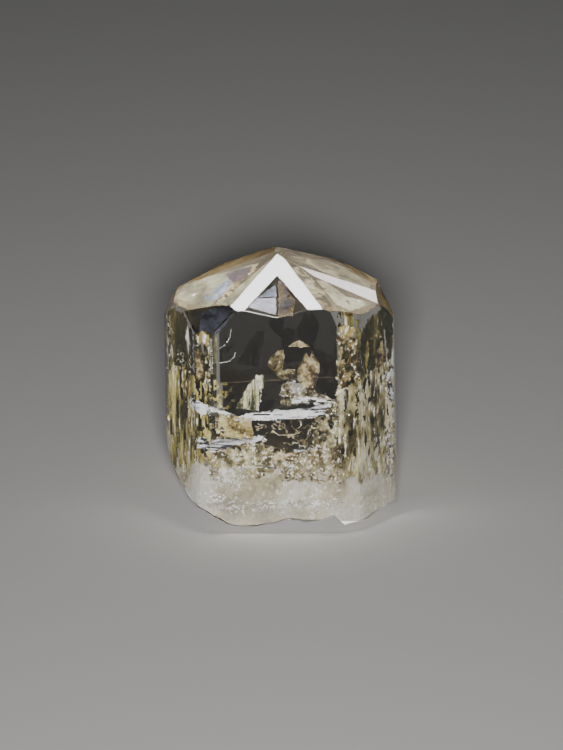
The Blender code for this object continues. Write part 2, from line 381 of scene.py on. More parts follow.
def ragged_sheet(name, face, outline, depth, material, rag=0.2, holes=-0.4, hole_size=(0.4, 0.4), net=0.0,
                 crumple=0.2, crumple_size=0.4, thickness=0.03, cell=0.08, seed=0.0, tilt=0.0):
    """A thin sheet behind a face, in mm: a grid that loses its cells outside a ragged outline and in gaps.

    Gaps lie where a noise is under the level holes. With a net width only a net of fine lines stays.
    """
    border = on_face(face, outline)
    low_u, high_u = min(u for u, v in border) - rag, max(u for u, v in border) + rag
    low_v, high_v = min(v for u, v in border) - rag, max(v for u, v in border) + rag
    middle = Vector(((low_u + high_u) / 2 * MM, (low_v + high_v) / 2 * MM, 0.0))
    deselect_all()
    bpy.ops.mesh.primitive_grid_add(
        x_subdivisions=max(2, round((high_u - low_u) / cell)),
        y_subdivisions=max(2, round((high_v - low_v) / cell)),
        size=1.0,
    )
    sheet = bpy.context.object
    sheet.name = name
    bpy.ops.object.mode_set(mode="EDIT")
    bpy.ops.transform.resize(
        value=((high_u - low_u) * MM, (high_v - low_v) * MM, 1.0), center_override=(0.0, 0.0, 0.0)
    )
    bpy.ops.transform.translate(value=middle)
    bpy.ops.mesh.select_mode(type="FACE")
    bpy.ops.mesh.select_all(action="DESELECT")
    bpy.ops.object.mode_set(mode="OBJECT")
    for cell_face in sheet.data.polygons:
        u, v = cell_face.center.x / MM, cell_face.center.y / MM
        edge = depth_in(border, u, v) + rag * rough(u / RAG_WAVE, v / RAG_WAVE, seed)
        gaps = rough(u / hole_size[0], v / hole_size[1], seed + GAP_SEED_STEP)
        stays = abs(gaps) < net if net > 0.0 else gaps > holes
        cell_face.select = edge < 0.0 or not stays
    bpy.ops.object.mode_set(mode="EDIT")
    bpy.ops.mesh.delete(type="FACE")
    bpy.ops.object.mode_set(mode="OBJECT")
    relief = bpy.data.textures.new(name + "_relief", "CLOUDS")
    relief.noise_scale = crumple_size * MM
    relief.noise_depth = 3
    wave = sheet.modifiers.new("crumple", "DISPLACE")
    wave.texture = relief
    wave.strength = crumple * MM
    wave.mid_level = 0.5
    bpy.ops.object.modifier_apply(modifier=wave.name)
    shell = sheet.modifiers.new("shell", "SOLIDIFY")
    shell.thickness = thickness * MM
    shell.offset = 0.0
    bpy.ops.object.modifier_apply(modifier=shell.name)
    to_middle = Matrix.Translation(middle)
    lean = to_middle @ Matrix.Rotation(math.radians(tilt), 4, "X") @ to_middle.inverted()
    sheet.matrix_world = place_behind(face, depth) @ lean
    bpy.ops.object.transform_apply(location=True, rotation=True, scale=True)
    sheet.data.materials.append(material)
    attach(sheet, "root")


def film_material(name, dark, middle, light, scale, stretch=(1.0, 1.0, 1.0), roughness=0.4, turn=0.0,
                  painted_glint_level=0.58):
    """A film of fluid or mineral in the stone: three-tone patches, painted white glints and a fine relief."""
    material, nodes, links = new_material(name)
    shader = nodes["Principled BSDF"]
    set_inputs(shader, {"Roughness": roughness})
    place = add_node(nodes, "ShaderNodeTexCoord")
    spread = add_node(
        nodes, "ShaderNodeMapping", {"Scale": stretch, "Rotation": (0.0, math.radians(turn), 0.0)}
    )
    patches = add_node(nodes, "ShaderNodeTexNoise", {"Scale": scale, "Detail": 6.0, "Roughness": 0.7})
    tones = three_tones(nodes, FILM_TONE_PLACES, dark, middle, light)
    painted_glints = add_node(nodes, "ShaderNodeTexNoise", {"Scale": scale * PAINTED_GLINTS_PER_PATCH, "Detail": 2.0})
    painted_glint_part = add_node(nodes, "ShaderNodeMapRange", {"From Min": painted_glint_level, "From Max": painted_glint_level + PAINTED_GLINT_FADE})
    paint = add_node(nodes, "ShaderNodeMix", {"B": PAINTED_GLINT_COLOUR}, data_type="RGBA")
    bump = add_node(nodes, "ShaderNodeBump", {"Distance": 0.20 * MM})
    links.new(place.outputs["Object"], spread.inputs["Vector"])
    links.new(spread.outputs["Vector"], patches.inputs["Vector"])
    links.new(spread.outputs["Vector"], painted_glints.inputs["Vector"])
    links.new(patches.outputs["Fac"], tones.inputs["Fac"])
    links.new(painted_glints.outputs["Fac"], painted_glint_part.inputs["Value"])
    links.new(painted_glint_part.outputs["Result"], paint.inputs["Factor"])
    links.new(tones.outputs["Color"], paint.inputs["A"])
    links.new(paint.outputs["Result"], shader.inputs["Base Color"])
    links.new(patches.outputs["Fac"], bump.inputs["Height"])
    links.new(bump.outputs["Normal"], shader.inputs["Normal"])
    return material


golden_fibres = film_material(
    "golden_fibres", dark=(0.03, 0.025, 0.003), middle=(0.36, 0.29, 0.06), light=(0.72, 0.65, 0.3),
    scale=900.0, stretch=(1.0, 1.0, 0.22), turn=-6.0, painted_glint_level=0.61,
)
beige_film = film_material(
    "beige_film", dark=(0.06, 0.045, 0.012), middle=(0.38, 0.32, 0.14), light=(0.68, 0.64, 0.46),
    scale=1100.0,
)
gold_film = film_material(
    "gold_film", dark=(0.16, 0.1, 0.015), middle=(0.42, 0.3, 0.07), light=(0.62, 0.54, 0.28),
    scale=1200.0, stretch=(1.0, 1.0, 0.3),
)
feather_film = film_material(
    "feathery_beige", dark=(0.06, 0.045, 0.012), middle=(0.38, 0.32, 0.14), light=(0.72, 0.68, 0.5),
    scale=900.0, stretch=(1.0, 1.0, 0.32), turn=24.0, painted_glint_level=0.6,
)
ragged_sheet(
    "left_fibres", LEFT,
    outline=[
        (-7.37, 9.76), (-6.85, 10.5), (-6.32, 10.4), (-5.93, 10.38), (-5.54, 10.28), (-5.54, 4.6),
        (-6.19, 3.6), (-7.11, 3.6), (-7.37, 6.16),
    ],
    depth=0.14, material=golden_fibres, rag=0.35, holes=-0.24, hole_size=(0.45, 1.6), seed=1.0,
)
ragged_sheet(
    "left_edge_specks", LEFT,
    outline=[(-7.5, 13.6), (-7.1, 13.73), (-6.95, 11.85), (-7.1, 10.0), (-7.44, 9.73)],
    depth=0.12, material=beige_film, rag=0.2, holes=0.12, hole_size=(0.3, 0.35), seed=2.0,
)
ragged_sheet(
    "left_wisps", LEFT,
    outline=[(-6.72, 11.4), (-6.32, 11.71), (-5.8, 11.39), (-5.8, 10.5), (-6.19, 10.1), (-6.7, 10.4)],
    depth=0.3, material=beige_film, rag=0.3, net=0.13, hole_size=(0.7, 0.5), seed=3.0,
)
ragged_sheet(
    "left_gold_streak", LEFT,
    outline=[(-6.32, 9.67), (-6.0, 9.95), (-5.54, 7.63), (-5.54, 5.39), (-5.8, 5.41), (-6.0, 7.09)],
    depth=0.1, material=gold_film, rag=0.15, holes=-0.1, hole_size=(0.3, 2.0), seed=4.0,
)
ragged_sheet(
    "narrow_left_stain", NARROW_LEFT,
    outline=[
        (-5.54, 13.0), (-5.08, 13.27), (-4.63, 13.13), (-4.63, 12.46), (-5.08, 12.66), (-5.41, 12.34),
    ],
    depth=0.1, material=gold_film, rag=0.15, holes=-0.3, hole_size=(0.3, 0.3), seed=5.0,
)
ragged_sheet(
    "narrow_left_thread", NARROW_LEFT,
    outline=[(-4.76, 12.71), (-4.56, 12.74), (-4.56, 8.82), (-4.89, 8.77), (-4.95, 10.11)],
    depth=0.12, material=beige_film, rag=0.15, holes=0.1, hole_size=(0.2, 0.9), seed=7.0,
)
ragged_sheet(
    "narrow_left_fibres", NARROW_LEFT,
    outline=[(-5.54, 10.03), (-4.56, 9.9), (-4.56, 4.5), (-5.54, 4.5)],
    depth=0.14, material=golden_fibres, rag=0.15, holes=0.02, hole_size=(0.22, 1.5), seed=8.0,
)
ragged_sheet(
    "front_left_fibres", FRONT,
    outline=[(-4.56, 10.45), (-3.84, 10.05), (-3.12, 9.64), (-2.93, 8.84), (-3.0, 8.2), (-4.56, 8.43)],
    depth=0.5, material=golden_fibres, rag=0.25, net=0.16, hole_size=(0.6, 0.9), seed=9.0,
)
yellow_film = film_material(
    "yellow_film", dark=(0.12, 0.08, 0.01), middle=(0.5, 0.4, 0.13), light=(0.68, 0.62, 0.34),
    scale=1300.0, painted_glint_level=0.62,
)
ragged_sheet(
    "front_yellow_patch", FRONT,
    outline=[(-4.04, 7.89), (-2.93, 7.89), (-1.88, 7.55), (-1.7, 6.35), (-3.71, 6.28), (-4.1, 6.82)],
    depth=0.3, material=yellow_film, rag=0.2, holes=-0.45, hole_size=(0.5, 0.4), seed=10.0,
)
ragged_sheet(
    "front_strokes", FRONT,
    outline=[(-4.56, 8.16), (-3.84, 8.03), (-4.0, 6.3), (-4.56, 6.14)],
    depth=0.35, material=beige_film, rag=0.1, net=0.12, hole_size=(0.35, 0.7), seed=11.0,
)
ragged_sheet(
    "front_low_left", FRONT,
    outline=[
        (-4.56, 5.4), (-3.4, 5.6), (-2.3, 5.8), (-1.23, 5.9), (-0.57, 5.7), (-0.3, 4.3), (-1.23, 3.7),
        (-4.56, 3.7),
    ],
    depth=0.13, material=beige_film, rag=0.3, holes=-0.28, hole_size=(0.7, 0.4), seed=12.0,
)
ragged_sheet(
    "front_brush", FRONT,
    outline=[(2.7, 8.16), (3.4, 8.6), (3.68, 9.38), (4.1, 9.38), (4.1, 5.6), (2.3, 5.7), (2.0, 6.7)],
    depth=0.35, material=beige_film, rag=0.35, holes=-0.18, hole_size=(0.5, 0.8), seed=13.0,
)
brown_grains = film_material(
    "brown_grains", dark=(0.08, 0.05, 0.01), middle=(0.34, 0.27, 0.13), light=(0.62, 0.58, 0.46),
    scale=1500.0,
)
ragged_sheet(
    "front_low_right", FRONT,
    outline=[
        (-0.31, 4.93), (1.26, 5.3), (2.2, 5.75), (3.9, 5.9), (3.9, 3.4), (1.26, 3.3), (-0.31, 3.8),
    ],
    depth=0.14, material=brown_grains, rag=0.35, holes=-0.22, hole_size=(0.4, 0.3), seed=14.0,
)
tan_gold_film = film_material(
    "tan_gold_film", dark=(0.03, 0.015, 0.002), middle=(0.24, 0.17, 0.04), light=(0.56, 0.49, 0.26),
    scale=1000.0,
)
ragged_sheet(
    "narrow_right_veil", NARROW_RIGHT,
    outline=[(3.68, 13.4), (4.39, 13.0), (4.98, 13.2), (5.05, 9.32), (3.68, 9.38)],
    depth=0.2, material=tan_gold_film, rag=0.2, holes=-0.15, hole_size=(0.45, 0.6), seed=15.0,
)
ragged_sheet(
    "narrow_right_band", NARROW_RIGHT,
    outline=[(3.68, 9.6), (5.05, 9.6), (5.05, 3.6), (3.68, 3.6)],
    depth=0.14, material=feather_film, rag=0.1, holes=-0.25, hole_size=(0.3, 1.2), seed=16.0,
)
ragged_sheet(
    "right_veil", RIGHT,
    outline=[
        (5.05, 9.74), (5.57, 10.31), (6.36, 10.25), (6.88, 10.56), (7.3, 10.23), (7.3, 3.2),
        (5.05, 3.2),
    ],
    depth=0.14, material=feather_film, rag=0.4, holes=-0.24, hole_size=(0.5, 1.0), seed=17.0,
)
ragged_sheet(
    "right_fan", RIGHT,
    outline=[
        (5.05, 11.21), (5.44, 12.11), (5.64, 12.29), (5.7, 11.59), (5.57, 10.31), (5.18, 9.15),
        (5.05, 9.2),
    ],
    depth=0.4, material=golden_fibres, rag=0.15, holes=-0.2, hole_size=(0.3, 1.4), seed=18.0,
)
ragged_sheet(
    "gold_corner_patch", NARROW_RIGHT,
    outline=[(3.7, 13.7), (4.3, 13.75), (4.85, 13.4), (4.66, 12.9), (3.87, 13.0)],
    depth=0.2, material=gold_film, rag=0.2, holes=-0.5, seed=57.0,
)

# The olive veils: dark olive sheets deeper behind the side faces, painted shade where the stone looks
# nearly black between the golden fibres. One more, also painted shade, stands at the left edge of the front
# face, and a blue-black one under the corner above it is a painted dark reflection of that corner facet.
olive_painted_shade = film_material(
    "olive_painted_shade", dark=(0.012, 0.012, 0.003), middle=(0.045, 0.042, 0.01), light=(0.28, 0.25, 0.08),
    scale=420.0, stretch=(1.0, 1.0, 0.2), painted_glint_level=0.66,
)
ragged_sheet(
    "left_olive_painted_shade", LEFT,
    outline=[(-7.45, 13.9), (-6.9, 14.3), (-6.3, 14.1), (-5.7, 13.1), (-5.6, 4.6), (-7.3, 4.6)],
    depth=0.55, material=olive_painted_shade, rag=0.2, holes=-0.85, hole_size=(0.8, 2.4), seed=19.0,
)
ragged_sheet(
    "right_olive_painted_shade", RIGHT,
    outline=[(5.1, 12.9), (5.7, 13.8), (6.6, 14.1), (7.3, 13.6), (7.3, 4.2), (5.1, 4.2)],
    depth=0.6, material=olive_painted_shade, rag=0.2, holes=-0.6, hole_size=(0.8, 2.4), seed=20.0,
)
ragged_sheet(
    "narrow_right_olive_painted_shade", NARROW_RIGHT,
    outline=[(3.75, 14.7), (4.6, 14.5), (5.05, 13.9), (5.05, 5.2), (3.7, 5.2)],
    depth=0.6, material=olive_painted_shade, rag=0.15, holes=-0.4, hole_size=(0.5, 2.0), seed=23.0,
)
ragged_sheet(
    "narrow_left_olive_painted_shade", NARROW_LEFT,
    outline=[(-5.54, 13.2), (-4.56, 13.2), (-4.56, 5.4), (-5.54, 5.4)],
    depth=0.6, material=olive_painted_shade, rag=0.15, holes=-0.45, hole_size=(0.4, 2.0), seed=24.0,
)
# Painted shade: a dark sheet along the front face's left edge.
ragged_sheet(
    "front_left_painted_shade", FRONT,
    outline=[(-4.56, 13.2), (-4.12, 13.0), (-4.16, 10.6), (-4.12, 8.6), (-4.56, 8.6)],
    depth=0.7, material=olive_painted_shade, rag=0.05, holes=-0.7, hole_size=(0.4, 2.0), seed=28.0,
)
# Painted dark reflection: a blue-black sheet under the corner facet copies the dark blue that the facet
# reflects.
navy_painted_reflection = film_material(
    "navy_painted_reflection", dark=(0.008, 0.009, 0.012), middle=(0.019, 0.02, 0.03), light=(0.05, 0.053, 0.078),
    scale=700.0, painted_glint_level=0.9,
)
ragged_sheet(
    "corner_painted_reflection", FRONT,
    outline=[
        (-5.2, 14.4), (-4.4, 14.9), (-3.1, 15.0), (-2.8, 14.7), (-3.3, 14.2), (-4.3, 13.1),
        (-5.2, 13.2),
    ],
    depth=1.0, material=navy_painted_reflection, rag=0.05, holes=-0.9, crumple=0.05, seed=29.0,
)

# The veils behind the three back faces, beige and golden as in front. They are thin crumpled sheets of
# fluid-filled tubes too.
BACK = (180.0, 90.0, 5.27)
BACK_LEFT = (-120.0, 90.0, 6.20)
BACK_RIGHT = (120.0, 90.0, 6.60)
ragged_sheet(
    "back_veil", BACK,
    outline=[
        (4.2, 2.4), (4.2, 5.2), (3.0, 4.4), (1.2, 3.8), (-1.0, 4.0), (-3.0, 4.4), (-4.2, 5.4),
        (-4.2, 2.4),
    ],
    depth=0.2, material=beige_film, rag=0.4, holes=-0.2, hole_size=(0.6, 0.6), seed=25.0,
)
ragged_sheet(
    "back_left_veil", BACK_LEFT,
    outline=[(-6.9, 9.5), (-6.3, 10.2), (-5.6, 8.4), (-4.9, 6.9), (-4.9, 3.0), (-6.9, 3.0)],
    depth=0.2, material=golden_fibres, rag=0.5, holes=-0.2, hole_size=(0.5, 1.2), seed=26.0,
)
ragged_sheet(
    "back_right_veil", BACK_RIGHT,
    outline=[(7.0, 8.8), (6.5, 9.4), (5.7, 7.6), (4.9, 6.6), (4.9, 3.0), (7.0, 3.0)],
    depth=0.2, material=beige_film, rag=0.5, holes=-0.2, hole_size=(0.5, 1.0), seed=27.0,
)

# The net of veins: between the great fracture and the cloudy root fine pale veins branch round clear cells
# that look dark. They are the rims of healed cracks, drawn by tiny drops of fluid.
ragged_sheet(
    "vein_net", FRONT,
    outline=[
        (-1.88, 7.49), (-0.7, 7.56), (1.26, 7.49), (2.7, 8.03), (4.07, 8.57), (4.2, 6.82), (4.1, 5.81),
        (3.22, 5.3), (1.26, 5.0), (-0.31, 5.0), (-1.23, 5.9),
    ],
    depth=0.6, material=beige_film, rag=0.15, net=0.06, hole_size=(1.2, 0.8), cell=0.055, seed=21.0,
    crumple=0.5,
)
ragged_sheet(
    "vein_net_deep", FRONT,
    outline=[(-0.2, 7.4), (1.26, 7.4), (2.7, 7.9), (4.0, 8.3), (4.1, 5.6), (1.26, 5.0), (0.2, 5.4)],
    depth=1.4, material=beige_film, rag=0.3, net=0.07, hole_size=(0.8, 1.0), cell=0.06, seed=22.0,
    crumple=0.6,
)

# The fractures: bright cracks run through the stone at about half its height, silvery because air fills
# them. They lie nearly level, so the eye meets them edge-on as bands of long streaks.
silver = film_material(
    "silver_crack", dark=(0.03, 0.03, 0.04), middle=(0.86, 0.86, 0.92), light=(1.0, 1.0, 1.0),
    scale=1500.0, stretch=(0.12, 1.0, 1.5), roughness=0.25,
)
ragged_sheet(
    "great_fracture", FRONT,
    outline=[
        (-2.99, 7.7), (-2.2, 7.95), (0.08, 8.2), (1.91, 8.35), (3.0, 8.75), (3.35, 8.62), (3.95, 8.48),
        (3.2, 8.1), (1.91, 7.6), (-0.57, 7.45), (-2.93, 7.47),
    ],
    depth=0.62, material=silver, rag=0.1, holes=-0.33, hole_size=(2.4, 0.11), cell=0.06, crumple=0.2,
    crumple_size=0.3, seed=31.0, tilt=-30.0,
)
ragged_sheet(
    "great_fracture_branch", FRONT,
    outline=[
        (0.6, 8.6), (1.4, 9.3), (1.9, 9.2), (2.6, 8.95), (3.3, 8.8), (3.3, 8.55), (2.4, 8.6),
        (1.4, 8.75),
    ],
    depth=0.66, material=silver, rag=0.12, holes=-0.2, hole_size=(1.2, 0.12), cell=0.06, seed=32.0,
    tilt=-30.0,
)
ragged_sheet(
    "fracture_left_arm", FRONT,
    outline=[(-4.56, 8.42), (-3.64, 8.15), (-2.9, 7.8), (-2.9, 7.5), (-3.64, 7.85), (-4.56, 8.1)],
    depth=0.42, material=silver, rag=0.06, holes=-0.3, hole_size=(1.0, 0.12), seed=33.0, tilt=-25.0,
)
ragged_sheet(
    "fracture_corner", NARROW_LEFT,
    outline=[(-5.54, 8.75), (-4.56, 8.4), (-4.56, 8.0), (-5.08, 7.75), (-5.54, 8.0)],
    depth=0.12, material=silver, rag=0.08, holes=-0.4, hole_size=(0.8, 0.14), seed=34.0,
)
ragged_sheet(
    "fracture_far_left", LEFT,
    outline=[(-5.95, 8.85), (-5.54, 8.7), (-5.54, 7.95), (-5.87, 8.25)],
    depth=0.1, material=silver, rag=0.08, holes=-0.4, hole_size=(0.8, 0.14), seed=35.0,
)
ragged_sheet(
    "lower_fracture", FRONT,
    outline=[
        (-4.56, 6.2), (-3.64, 6.44), (-2.14, 6.48), (-0.9, 6.35), (-0.9, 6.1), (-2.3, 5.95),
        (-3.4, 5.65), (-4.56, 5.32),
    ],
    depth=0.45, material=silver, rag=0.16, holes=-0.62, hole_size=(0.6, 0.2), seed=36.0, tilt=-25.0,
)
ragged_sheet(
    "lower_fracture_corner", NARROW_LEFT,
    outline=[(-5.45, 6.35), (-4.56, 6.2), (-4.56, 5.5), (-5.5, 5.5)],
    depth=0.12, material=silver, rag=0.12, holes=-0.35, hole_size=(0.35, 0.3), seed=37.0,
)
ragged_sheet(
    "small_fracture", FRONT,
    outline=[(0.9, 5.55), (2.2, 5.72), (3.6, 5.75), (3.6, 5.62), (2.2, 5.52), (1.0, 5.4)],
    depth=0.2, material=silver, rag=0.06, holes=-0.25, hole_size=(0.6, 0.1), cell=0.06, seed=38.0,
)
ragged_sheet(
    "silver_cluster", FRONT,
    outline=[(-0.1, 4.7), (0.5, 4.85), (1.1, 4.7), (0.9, 4.2), (0.3, 4.0)],
    depth=0.15, material=silver, rag=0.25, holes=-0.1, hole_size=(0.3, 0.2), cell=0.06, seed=39.0,
)
ragged_sheet(
    "thin_crack", FRONT,
    outline=[(-2.66, 4.43), (-0.44, 4.43), (-0.44, 4.35), (-2.66, 4.35)],
    depth=0.1, material=silver, rag=0.03, holes=-0.6, crumple=0.05, cell=0.045, seed=40.0,
)
ragged_sheet(
    "right_edge_silver", RIGHT,
    outline=[(6.75, 9.61), (7.07, 10.5), (7.3, 10.6), (7.3, 7.69), (6.88, 8.15)],
    depth=0.12, material=silver, rag=0.3, holes=-0.1, hole_size=(0.5, 0.4), seed=41.0,
)
ragged_sheet(
    "right_edge_silver_low", RIGHT,
    outline=[(6.94, 5.6), (7.3, 5.6), (7.3, 2.6), (7.01, 2.8)],
    depth=0.12, material=silver, rag=0.3, holes=0.0, hole_size=(0.5, 0.4), seed=42.0,
)

# The white frost: white grains in the cloudy root, at its left and along its lower rim, with painted glints
# for their sparkle. They are tiny cracks close under the face, full of air.
frost = film_material(
    "white_frost", dark=(0.34, 0.32, 0.25), middle=(0.66, 0.64, 0.58), light=(1.0, 1.0, 1.0),
    scale=1900.0, painted_glint_level=0.56,
)
ragged_sheet(
    "frosty_patch", FRONT,
    outline=[(-4.3, 4.3), (-3.4, 4.5), (-2.6, 4.2), (-2.4, 3.4), (-3.2, 2.9), (-4.2, 3.1)],
    depth=0.12, material=frost, rag=0.5, holes=-0.1, hole_size=(0.25, 0.2), cell=0.06, seed=43.0,
)
ragged_sheet(
    "frosty_rim", FRONT,
    outline=[
        (-4.5, 2.7), (-2.7, 2.0), (0.0, 2.2), (2.8, 2.2), (4.0, 2.4), (4.0, 1.9), (2.8, 1.6),
        (0.0, 1.6), (-2.7, 1.3), (-4.5, 2.0),
    ],
    depth=0.12, material=frost, rag=0.35, holes=-0.02, hole_size=(0.4, 0.2), cell=0.06, seed=44.0,
)

# The tan flakes: iron-stained flakes hang in the clear upper part like leaves, tan with brown spots.
# Each is a crack healed with a film of brown mineral.
tan_film = film_material(
    "tan_film", dark=(0.04, 0.026, 0.005), middle=(0.26, 0.2, 0.08), light=(0.56, 0.51, 0.32),
    scale=1300.0, painted_glint_level=0.68,
)
rust_film = film_material(
    "rust_film", dark=(0.02, 0.01, 0.002), middle=(0.2, 0.13, 0.035), light=(0.5, 0.45, 0.27),
    scale=1400.0, painted_glint_level=0.69,
)
ragged_sheet(
    "leaf_flake", FRONT,
    outline=[
        (1.06, 10.86), (1.26, 11.19), (1.65, 12.0), (1.85, 11.6), (2.05, 12.07), (2.3, 11.6),
        (2.56, 11.19), (2.5, 10.72), (2.3, 10.18), (2.17, 9.3), (1.52, 9.7), (1.06, 10.32),
    ],
    depth=0.9, material=rust_film, rag=0.05, holes=-0.8, hole_size=(0.4, 0.5), cell=0.05, crumple=0.35,
    seed=51.0, tilt=-10.0,
)
ragged_sheet(
    "left_flake", FRONT,
    outline=[
        (-0.83, 11.19), (-0.7, 11.73), (-0.18, 12.2), (0.21, 12.27), (0.21, 11.33), (0.15, 10.92),
        (0.93, 10.86), (0.93, 10.32), (0.08, 10.18), (-0.44, 10.72),
    ],
    depth=1.1, material=tan_film, rag=0.06, holes=-0.7, hole_size=(0.4, 0.4), cell=0.05, crumple=0.35,
    seed=52.0, tilt=12.0,
)
ragged_sheet(
    "small_flake", FRONT,
    outline=[(0.47, 12.41), (1.91, 12.41), (1.26, 12.88), (1.0, 12.8)],
    depth=1.5, material=tan_film, rag=0.06, holes=-0.8, cell=0.06, crumple=0.2, seed=53.0, tilt=-30.0,
)
olive_film = film_material(
    "olive_film", dark=(0.06, 0.045, 0.01), middle=(0.28, 0.23, 0.11), light=(0.62, 0.6, 0.54),
    scale=1300.0,
)
ragged_sheet(
    "wide_flake", FRONT,
    outline=[
        (0.08, 10.05), (0.8, 10.18), (1.52, 9.85), (2.04, 9.44), (2.89, 9.24), (3.5, 8.75), (1.26, 8.5),
        (-0.05, 8.4),
    ],
    depth=0.7, material=olive_film, rag=0.15, holes=-0.5, hole_size=(0.6, 0.3), cell=0.06, crumple=0.5,
    seed=54.0, tilt=15.0,
)
ragged_sheet(
    "right_small_flake", RIGHT,
    outline=[(5.77, 12.43), (6.09, 12.63), (6.29, 12.78), (6.6, 12.3), (6.3, 12.2)],
    depth=0.5, material=tan_film, rag=0.1, holes=-0.6, cell=0.06, seed=55.0,
)
ragged_sheet(
    "right_rust_flake", RIGHT,
    outline=[(6.09, 9.96), (6.22, 11.24), (6.55, 12.0), (6.75, 11.61), (6.88, 10.89), (6.49, 10.0)],
    depth=0.3, material=rust_film, rag=0.15, holes=-0.5, hole_size=(0.4, 0.8), seed=56.0,
)
ragged_sheet(
    "narrow_left_sliver", NARROW_LEFT,
    outline=[(-5.54, 12.53), (-5.28, 12.63), (-5.02, 11.12), (-4.95, 10.4), (-5.54, 9.9)],
    depth=0.15, material=rust_film, rag=0.12, holes=-0.2, hole_size=(0.25, 1.2), seed=6.0,
)

# The pale fan: a bundle of straight pale fibres, yellow and greenish white, that stands on the great
# fracture, and stripes like it lower down. The fibres are hollow growth tubes side by side.
fan_film = film_material(
    "pale_fan_fibres", dark=(0.04, 0.05, 0.02), middle=(0.66, 0.62, 0.28), light=(0.95, 0.99, 0.86),
    scale=1400.0, stretch=(1.5, 1.0, 0.08), roughness=0.3, turn=22.0,
)
ragged_sheet(
    "pale_fan", FRONT,
    outline=[
        (-2.95, 8.3), (-2.5, 9.1), (-2.05, 10.0), (-1.6, 10.5), (-1.1, 10.6), (-1.2, 9.6),
        (-1.45, 8.15),
    ],
    depth=0.6, material=fan_film, rag=0.1, holes=-0.45, hole_size=(0.16, 1.6), cell=0.06, seed=61.0,
    tilt=6.0,
)
ragged_sheet(
    "low_stripes", FRONT,
    outline=[(-2.27, 6.01), (-1.23, 5.94), (-1.23, 4.6), (-2.27, 4.7)],
    depth=0.15, material=fan_film, rag=0.08, holes=-0.2, hole_size=(0.16, 1.2), cell=0.06, seed=62.0,
)

# The hairline cracks: fine lines near the upper left corner, where the stone is otherwise clear.
# They are the rims of small conchoidal cracks seen edge-on.
hairline = film_material(
    "hairline_rim", dark=(0.2, 0.2, 0.15), middle=(0.4, 0.4, 0.33), light=(0.6, 0.6, 0.52),
    scale=1500.0,
)
HAIRLINES = {
    "upper_hairline": [
        (-3.22, 13.64), (-3.3, 13.1), (-3.6, 12.6), (-3.97, 12.32), (-3.95, 12.26), (-3.54, 12.53),
        (-3.24, 13.06), (-3.17, 13.62),
    ],
    "lower_hairline": [
        (-2.96, 12.07), (-3.05, 11.75), (-3.3, 11.5), (-4.1, 11.36), (-4.1, 11.28), (-3.27, 11.42),
        (-2.99, 11.7), (-2.91, 12.05),
    ],
    "left_hairline": [
        (-4.45, 13.0), (-4.38, 11.4), (-4.4, 10.6), (-4.47, 10.6), (-4.45, 11.4), (-4.52, 13.0),
    ],
}
for name, outline in HAIRLINES.items():
    ragged_sheet(
        name, FRONT, outline,
        depth=0.4, material=hairline, rag=0.012, holes=-0.35, cell=0.025, crumple=0.05, thickness=0.02,
    )

# The crown stains: thin beige, bluish, mauve and golden films, as old growth surfaces. They are flat
# patches just below the crown faces and behind the two faces of the notch.
LEFT_CROWN = (-52.3, 28.4, 16.04)
KITE_LEFT = (-37.7, 28.4, 16.06)
KITE_RIGHT = (36.4, 28.9, 15.92)
RIGHT_CROWN = (52.9, 31.4, 15.66)
RIGHT_HIGH = (79.6, 23.8, 16.13)
NOTCH_RIGHT = (-18.4, 43.1, 13.98)
NOTCH_LEFT = (14.1, 42.2, 14.09)
satin_film = film_material(
    "satin_beige", dark=(0.1, 0.09, 0.035), middle=(0.27, 0.25, 0.14), light=(0.44, 0.42, 0.29),
    scale=420.0, painted_glint_level=0.72,
)
speckled_film = film_material(
    "speckled_tan", dark=(0.03, 0.02, 0.005), middle=(0.26, 0.21, 0.1), light=(0.46, 0.43, 0.3),
    scale=1300.0, painted_glint_level=0.68,
)
ragged_sheet(
    "left_crown_film", LEFT_CROWN,
    outline=[
        (-6.9, 14.75), (-6.19, 15.4), (-4.95, 15.88), (-2.66, 16.7), (-1.4, 17.1), (-2.93, 15.95),
        (-4.7, 14.8), (-5.6, 14.75),
    ],
    depth=0.15, material=satin_film, rag=0.05, holes=-0.8, crumple=0.05, seed=71.0,
)
bluish_film = film_material(
    "bluish_film", dark=(0.12, 0.14, 0.21), middle=(0.3, 0.33, 0.43), light=(0.6, 0.63, 0.73),
    scale=900.0, painted_glint_level=0.9,
)
ragged_sheet(
    "bluish_patch", LEFT_CROWN,
    outline=[
        (-4.95, 15.19), (-3.84, 15.86), (-3.32, 16.15), (-3.06, 15.96), (-4.1, 15.2), (-4.89, 14.9),
    ],
    depth=0.08, material=bluish_film, rag=0.1, holes=-0.2, crumple=0.03, seed=72.0,
)
mauve_film = film_material(
    "mauve_film", dark=(0.03, 0.014, 0.014), middle=(0.08, 0.04, 0.04), light=(0.15, 0.085, 0.08),
    scale=900.0, painted_glint_level=0.9,
)
ragged_sheet(
    "mauve_patch", LEFT_CROWN,
    outline=[(-3.6, 16.25), (-2.8, 16.58), (-1.8, 16.9), (-2.3, 16.35), (-2.99, 16.02)],
    depth=0.05, material=mauve_film, rag=0.04, holes=-0.9, crumple=0.03, seed=73.0,
)
ragged_sheet(
    "golden_fold", LEFT_CROWN,
    outline=[(-4.2, 15.1), (-2.99, 16.05), (-1.68, 16.92), (-1.5, 16.9), (-2.93, 15.87), (-4.0, 15.0)],
    depth=0.06, material=gold_film, rag=0.12, holes=0.0, hole_size=(0.4, 0.25), crumple=0.03, seed=74.0,
)
ragged_sheet(
    "kite_left_film", KITE_LEFT,
    outline=[(-4.2, 15.0), (-2.93, 15.8), (-1.23, 16.95), (-0.7, 17.3), (-3.1, 15.05)],
    depth=0.12, material=satin_film, rag=0.05, holes=-0.5, crumple=0.03, seed=75.0,
)
